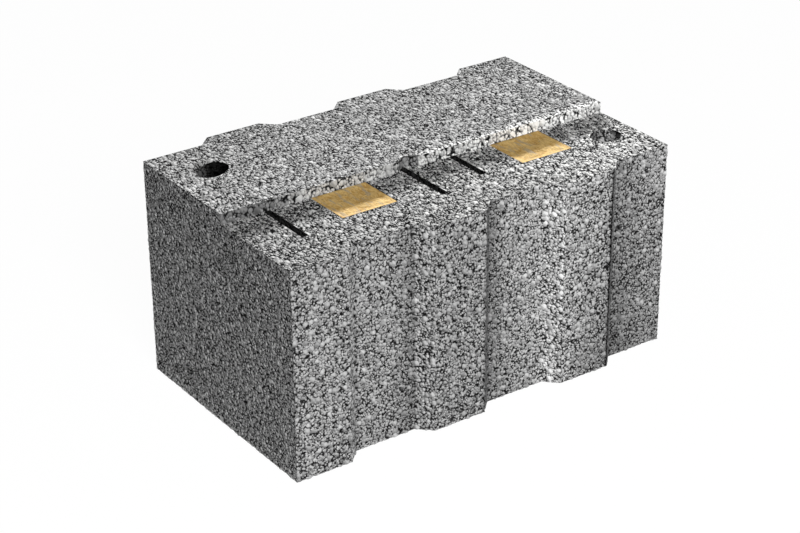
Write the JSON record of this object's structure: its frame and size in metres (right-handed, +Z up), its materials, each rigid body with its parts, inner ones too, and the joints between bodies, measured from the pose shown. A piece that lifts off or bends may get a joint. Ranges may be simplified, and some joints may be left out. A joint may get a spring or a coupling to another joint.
{
  "type": "concrete block",
  "caption": "Lightweight concrete wall block with tongue-and-groove long faces, insulated chambers, air slots and grip pockets, its deck cut away at the front.",
  "frame": {"origin": "middle of the lower bed face", "axes": "+X along the block towards its right end, +Y towards the face behind the deck, +Z up through the deck"},
  "size_m": [0.49, 0.3, 0.249],
  "materials": {
    "concrete": "open-grained, rough",
    "mineral_wool": "fibrous, matt"
  },
  "bodies": {
    "root": {"block": "concrete", "insulation_left": "mineral_wool", "insulation_right": "mineral_wool"}
  },
  "joints": []
}
